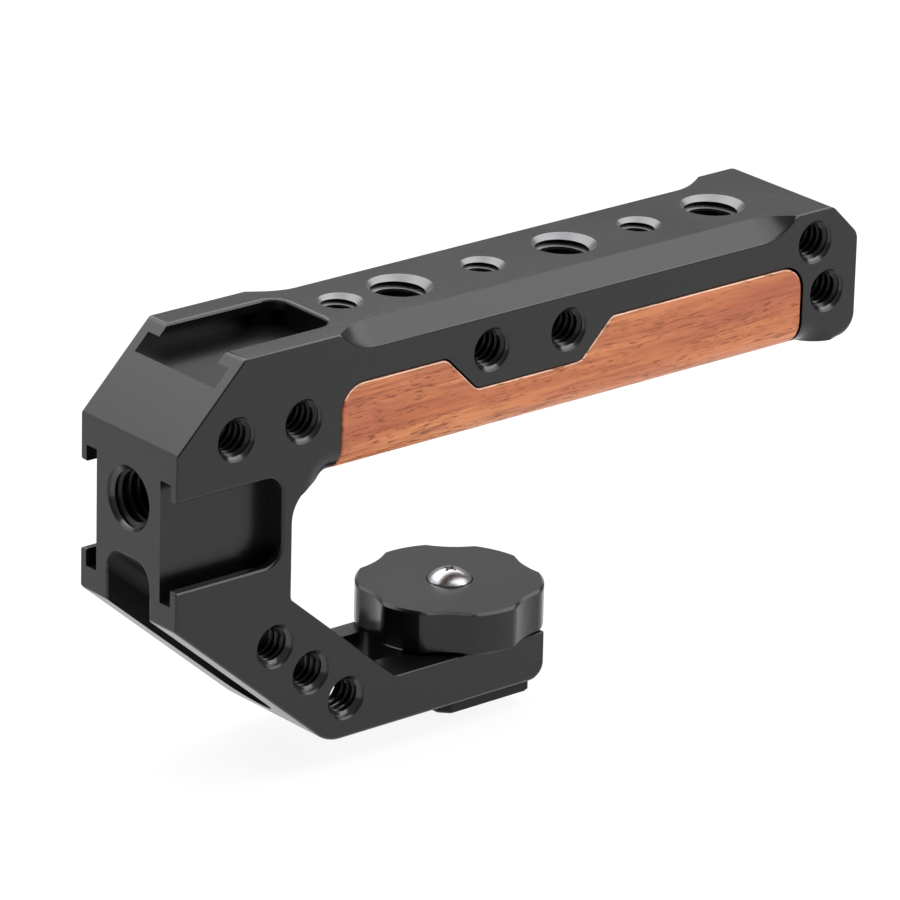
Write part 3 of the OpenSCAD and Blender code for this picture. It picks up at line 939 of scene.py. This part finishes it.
@dataclass
class ClampKnob:
    """The lobed knob and its thrust washer."""

    finish: bpy.types.Material
    washer: bpy.types.Material
    outer_r: float = 12.5
    edge: float = 0.12
    lobe_edge: float = 1.3
    pocket: Pair = (3.4, 3.7)
    rise: float = 0.3
    skew: float = 0.6

    def _lobe(self, a: Vector, b: Vector) -> float:
        """Width of the rounding on the upright edges between lobes and hollows, in drawing millimetres."""
        upright = abs(a.z - b.z) > self.rise and math.hypot(a.x - b.x, a.y - b.y) < self.skew
        return self.lobe_edge if upright and math.hypot(a.x - KNOB_X, a.y) > self.outer_r else 0.0

    def _break(self, a: Vector, b: Vector) -> float:
        """Width of the break on the knob's rims, given in drawing millimetres."""
        reach = min(math.hypot(p.x - KNOB_X, p.y) for p in (a, b))
        on_rim = reach > self.outer_r or self.pocket[0] < reach < self.pocket[1]
        return self.edge if on_rim and abs(a.z - b.z) < TINY else 0.0

    def build(self) -> None:
        """Builds the knob and finishes the washer."""
        piece = Bench.copy_node("knob", "lobed_knob")
        Bench.break_edges(piece, 12.0, self._lobe, steps=5)
        Bench.break_edges(piece, 25.0, self._break, steps=2)
        Bench.dress(piece, Body.KNOB, Slot.KNOB, self.finish, ["knob"])
        Bench.paint("knob_washer", self.washer)


@dataclass
class ClampFoot:
    """The foot plate and the two screws that move with it, in millimetres from the foot's underside."""

    coating: bpy.types.Material
    steel: bpy.types.Material
    bright: bpy.types.Material
    edge: float = 0.25
    key_half: float = 4.5
    head_r: float = 5.5
    head_h: float = 2.8
    stud_top: float = 15.9
    socket: float = 4.0
    socket_depth: float = 2.0
    cap_r: float = 3.4
    cap_h: float = 3.35
    cap_rim: float = 1.65
    cap_edge: float = 0.08
    cap_turn: float = 20.0
    bolt_len: float = 5.0
    bolt_hole: Pair = (1.5, 0.8)
    thread_up: float = 0.7
    cap_thread_up: float = 0.3
    cap_turns: int = 8
    rim_reach: float = 3.1
    neck: float = 1.2
    blade: Triple = (2.9, 0.55, 1.5)
    blade_taper: float = 0.45
    recess_depth: float = 0.5
    pit: Triple = (0.2, 0.75, 1.6)

    def _break(self, a: Vector, b: Vector) -> float:
        """Width of the break on the plate's edges beside the key, given in drawing millimetres."""
        return self.edge if max(abs(a.y), abs(b.y)) > self.key_half else 0.0

    def plate(self) -> None:
        """Builds the foot plate with softened edges."""
        piece = Bench.copy_node("foot_plate", "shoe_foot")
        Bench.break_edges(piece, 30.0, self._break)
        Bench.dress(piece, Body.FOOT, Slot.FOOT, self.coating, ["foot_plate"])

    def clamp_screw(self) -> None:
        """Models the flat-head screw: a cone with a hexagon socket, a core and its thread."""
        form = Threads.CLAMP.value
        core = form.major / 2 - ThreadMaker.height_share * form.pitch
        bpy.ops.mesh.primitive_cone_add(vertices=64, radius1=self.head_r * MM, radius2=form.major / 2 * MM,
                                        depth=self.head_h * MM, location=(0.0, 0.0, self.head_h / 2 * MM))
        piece = bpy.context.object
        piece.name = piece.data.name = "flat_head_clamp_screw"
        bpy.ops.object.transform_apply(location=True)
        Bench.select_faces(piece, lambda co, n: n.z > FACING)
        bpy.ops.mesh.inset(thickness=(form.major / 2 - core) * MM)
        rise = (0.0, 0.0, (self.stud_top - self.head_h) * MM)
        bpy.ops.mesh.extrude_region_move(TRANSFORM_OT_translate={"value": rise})
        bpy.ops.object.mode_set(mode="OBJECT")
        bpy.ops.mesh.primitive_cylinder_add(vertices=6, radius=self.socket / math.sqrt(3) * MM,
                                            depth=2 * self.socket_depth * MM, location=(0.0, 0.0, 0.0))
        Bench.cut(piece, bpy.context.object)
        hole_r, spare = self.bolt_hole
        bpy.ops.mesh.primitive_cylinder_add(vertices=48, radius=hole_r * MM,
                                            depth=2 * (self.bolt_len + spare) * MM,
                                            location=(0.0, 0.0, self.stud_top * MM))
        Bench.cut(piece, bpy.context.object)
        Bench.dress(piece, Body.FOOT, Slot.STEEL, self.steel, ["clamp_screw"])
        turns = int(self.stud_top - self.head_h) - 1
        thread = ThreadMaker().coil("clamp_screw_thread", core - ThreadMaker.bite, form.major / 2,
                                    form.ridge(), form.pitch, self.head_h + self.thread_up, turns)
        Bench.dress(thread, Body.FOOT, Slot.STEEL, self.steel, smooth=THREAD_SMOOTH)

    def cap_screw(self) -> None:
        """Models the domed screw: a dome cut from a ball, its rim, its cross recess and its bolt."""
        dome = self.cap_h - self.cap_rim
        ball = (self.cap_r ** 2 + dome ** 2) / (2 * dome)
        top = self.stud_top + self.cap_h
        bpy.ops.mesh.primitive_uv_sphere_add(segments=64, ring_count=72, radius=ball * MM,
                                             location=(0.0, 0.0, (top - ball) * MM))
        piece = bpy.context.object
        piece.name = piece.data.name = "domed_cap_screw"
        bpy.ops.object.transform_apply(location=True)
        bpy.ops.object.mode_set(mode="EDIT")
        bpy.ops.mesh.select_all(action="SELECT")
        bpy.ops.mesh.bisect(plane_co=(0.0, 0.0, (top - dome) * MM), plane_no=(0.0, 0.0, 1.0),
                            threshold=1e-7, clear_inner=True)
        bpy.ops.object.mode_set(mode="OBJECT")
        Bench.select_points(piece, lambda co: co.z < (top - dome + 0.01) * MM)
        bpy.ops.mesh.extrude_region_move(TRANSFORM_OT_translate={"value": (0.0, 0.0, -self.cap_rim * MM)})
        bpy.ops.mesh.edge_face_add()
        bpy.ops.object.mode_set(mode="OBJECT")
        Bench.select_faces(piece, lambda co, n: n.z < -FACING)
        bpy.ops.mesh.inset(thickness=(self.cap_r - self.neck) * MM)
        bpy.ops.mesh.extrude_region_move(TRANSFORM_OT_translate={"value": (0.0, 0.0, -self.bolt_len * MM)})
        bpy.ops.mesh.select_all(action="SELECT")
        bpy.ops.mesh.normals_make_consistent(inside=False)
        bpy.ops.object.mode_set(mode="OBJECT")
        Bench.break_edges(piece, 30.0, lambda a, b: self.cap_edge if self._reach(a) > self.rim_reach else 0.0)
        for turn in (0.0, 90.0):
            Bench.cut(piece, self._recess_blade(top, math.radians(self.cap_turn + turn)))
        tip_r, mouth_r, deep = self.pit
        bpy.ops.mesh.primitive_cone_add(vertices=32, radius1=tip_r * MM, radius2=mouth_r * MM,
                                        depth=deep * MM, location=(0.0, 0.0, (top - self.recess_depth) * MM))
        Bench.cut(piece, bpy.context.object)
        Bench.dress(piece, Body.FOOT, Slot.BRIGHT, self.bright, ["cap_screw"])
        form = Threads.CAP.value
        start = self.stud_top - self.bolt_len + self.cap_thread_up
        thread = ThreadMaker(steps=24).coil("cap_screw_thread", self.neck - ThreadMaker.bite, form.major / 2,
                                            form.ridge(), form.pitch, start, self.cap_turns)
        Bench.dress(thread, Body.FOOT, Slot.BRIGHT, self.bright, smooth=THREAD_SMOOTH)

    @staticmethod
    def _reach(p: Vector) -> float:
        """Distance from the clamp's axis in millimetres, of a place in drawing millimetres."""
        return math.hypot(p.x - KNOB_X, p.y)

    def _recess_blade(self, top: float, turn: float) -> bpy.types.Object:
        """Models the cutter of one stroke of the cross, narrower at its tip.

        Args:
            top: the dome's highest point.
            turn: the stroke's angle in radians.

        Returns:
            The cutter.
        """
        spot = (0.0, 0.0, (top - self.recess_depth / 2) * MM)
        bpy.ops.mesh.primitive_cube_add(size=1.0, location=spot, rotation=(0.0, 0.0, turn))
        blade = bpy.context.object
        blade.scale = tuple(length * MM for length in self.blade)
        bpy.ops.object.transform_apply(location=True, rotation=True, scale=True)
        Bench.select_points(blade, lambda co: co.z < (top - self.recess_depth) * MM)
        bpy.ops.transform.resize(value=(self.blade_taper, self.blade_taper, 1.0),
                                 center_override=(0.0, 0.0, 0.0))
        bpy.ops.object.mode_set(mode="OBJECT")
        return blade

    def build(self) -> None:
        """Builds the foot and its screws."""
        self.plate()
        self.clamp_screw()
        self.cap_screw()


@dataclass(frozen=True)
class Softbox:
    """One rectangular light: its name, place, width and height in metres, and its power in watts."""

    name: str
    place: Triple
    size: Pair
    power: float

    def add(self, aim: Vector) -> None:
        """Adds the light, facing a point."""
        where = Vector(self.place)
        bpy.ops.object.light_add(type="AREA", location=where)
        lamp = bpy.context.object
        lamp.name = self.name
        lamp.data.shape = "RECTANGLE"
        lamp.data.size, lamp.data.size_y = self.size
        lamp.data.energy = self.power
        lamp.rotation_euler = (where - aim).to_track_quat("Z", "Y").to_euler()


@dataclass
class Studio:
    """The floor, the lights and the camera of the photograph."""

    azimuth: float = -40.2054
    elevation: float = 21.1690
    roll: float = 1.4800
    lens: float = 274.873
    sensor: float = 36.0
    eye: Vector = field(default_factory=lambda: Vector((-0.623066, -0.736487, 0.411945)))
    floor_drop: float = 1.6 * MM
    floor_size: float = 8.0
    floor_tone: Rgb = (0.93, 0.93, 0.93)
    glow: float = 0.9
    aim: Vector = field(default_factory=lambda: Vector((0.0, 0.0, 0.035)))
    lights: tuple[Softbox, ...] = (
        Softbox("overhead", (0.255, 0.27, 1.1), (2.9, 2.1), 64.0),
        Softbox("back_left", (-0.85, 1.0, 0.40), (1.0, 0.8), 3.05),
        Softbox("front_right", (0.775, -0.825, 0.56), (0.5, 0.5), 4.5),
    )
    surround: float = 0.28

    def camera(self) -> None:
        """Adds the camera as it was fitted to the photograph."""
        a, e, r = (math.radians(v) for v in (self.azimuth, self.elevation, self.roll))
        out = Vector((math.sin(a) * math.cos(e), -math.cos(a) * math.cos(e), math.sin(e)))
        level = Vector((math.cos(a), math.sin(a), 0.0))
        up = out.cross(level)
        right = math.cos(r) * level + math.sin(r) * up
        top = -math.sin(r) * level + math.cos(r) * up
        bpy.ops.object.camera_add()
        camera = bpy.context.object
        camera.name = "camera"
        camera.data.lens = self.lens
        camera.data.sensor_width = self.sensor
        camera.data.clip_start = 0.05
        camera.matrix_world = Matrix.Translation(self.eye) @ Matrix((right, top, out)).transposed().to_4x4()
        bpy.context.scene.camera = camera

    def floor(self) -> None:
        """Adds a wide pale floor just under the foot's lowest place."""
        bpy.ops.mesh.primitive_plane_add(size=self.floor_size, location=(0.0, 0.0, -self.floor_drop))
        ground = bpy.context.object
        ground.name = "floor"
        g = Graph("pale_floor")
        material = g.finish(base_color=self.floor_tone, roughness=0.9, specular_ior_level=0.0)
        path = g.node("ShaderNodeLightPath", {}, {})
        seen = sum((Value(g, path.outputs[ray + " Ray"]) for ray in ("Is Glossy", "Is Transmission")),
                   Value(g, path.outputs["Is Camera Ray"])).clamped()
        glow = g.node("ShaderNodeEmission", {}, {"Color": (1.0, 1.0, 1.0), "Strength": 1.0}).outputs[0]
        mixed = g.node("ShaderNodeMixShader", {}, {0: seen * self.glow, 1: g.shader.outputs[0], 2: glow})
        output = next(n for n in g.tree.nodes if n.type == "OUTPUT_MATERIAL")
        g.feed(output.inputs["Surface"], mixed.outputs[0])
        ground.data.materials.append(material)

    def light(self) -> None:
        """Adds the soft lights and the pale surroundings."""
        for softbox in self.lights:
            softbox.add(self.aim)
        world = bpy.data.worlds.new("surroundings")
        bpy.context.scene.world = world
        world.use_nodes = True
        back = world.node_tree.nodes["Background"]
        back.inputs["Color"].default_value = (1.0, 1.0, 1.0, 1.0)
        back.inputs["Strength"].default_value = self.surround

    def build(self) -> None:
        """Sets up the whole studio."""
        self.camera()
        self.floor()
        self.light()
        bpy.context.scene.view_settings.view_transform = "Standard"


def main() -> None:
    """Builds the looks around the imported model."""
    logging.basicConfig(level=logging.INFO, format="%(name)s: %(message)s")
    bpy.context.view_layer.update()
    Studio().build()
    finishes = FrameFinishes(
        skin=Anodised("black_anodised", DYED, 0.25, ior=1.455).material(),
        # Painted shade: darker colour and lower IOR so that the hole threads look dark.
        thread=Anodised("thread_painted_shade_anodised", (0.004, 0.0041, 0.0044), 0.26,
                        grit_height=FINE_GRIT, ior=1.33).material(),
        # Painted glint: higher IOR and lower roughness so that the countersinks catch bright glints.
        mouth=Anodised("mouth_painted_glint_anodised", (0.006, 0.0061, 0.0064), 0.20,
                       grit_height=FINE_GRIT, ior=1.62).material(),
        # Painted highlight: bright metal that makes rings of light in the top holes.
        bright=Plated("painted_highlight_aluminium", (0.16, 0.16, 0.165), 0.34).material(),
        # Painted shade: low IOR and high roughness darken the slot's walls.
        slot=Anodised("slot_painted_shade_anodised", (0.004, 0.0041, 0.0044), 0.5, ior=1.25).material(),
        # Painted shade: darker colour and lower IOR darken the top shoe's floor.
        shoe=Anodised("shoe_floor_painted_shade_anodised", (0.003, 0.0031, 0.0034), 0.30, ior=1.30).material(),
    )
    knob_black = Anodised("knob_anodised", DYED, 0.24, ior=1.455).material()
    steel = Plated("plain_steel", (0.42, 0.42, 0.43), 0.30).material()
    bright = Plated("bright_plated", (0.34, 0.34, 0.35), 0.28).material()
    coating = Anodised("foot_coating", (0.0035, 0.0035, 0.0037), 0.38, ior=1.32).material()
    handle = HandleFrame(finishes)
    handle.body()
    handle.threads()
    # Painted highlight: pale wood for the panels' top edge bevels.
    rim = Wood("oiled_wood_painted_highlight_rim", pale=(0.95, 0.70, 0.56), middle=(0.90, 0.62, 0.48),
               ruddy=(0.80, 0.50, 0.38), deep=(0.6, 0.32, 0.22)).material()
    sheet = Moulded("adhesive_sheet", (0.72, 0.70, 0.64), 0.6).material()
    GripPanels(Wood().material(), rim, sheet).build()
    ClampKnob(knob_black, Moulded("washer_plastic", (0.80, 0.79, 0.75), 0.45).material()).build()
    ClampFoot(coating, steel, bright).build()


if __name__ == "__main__":
    main()
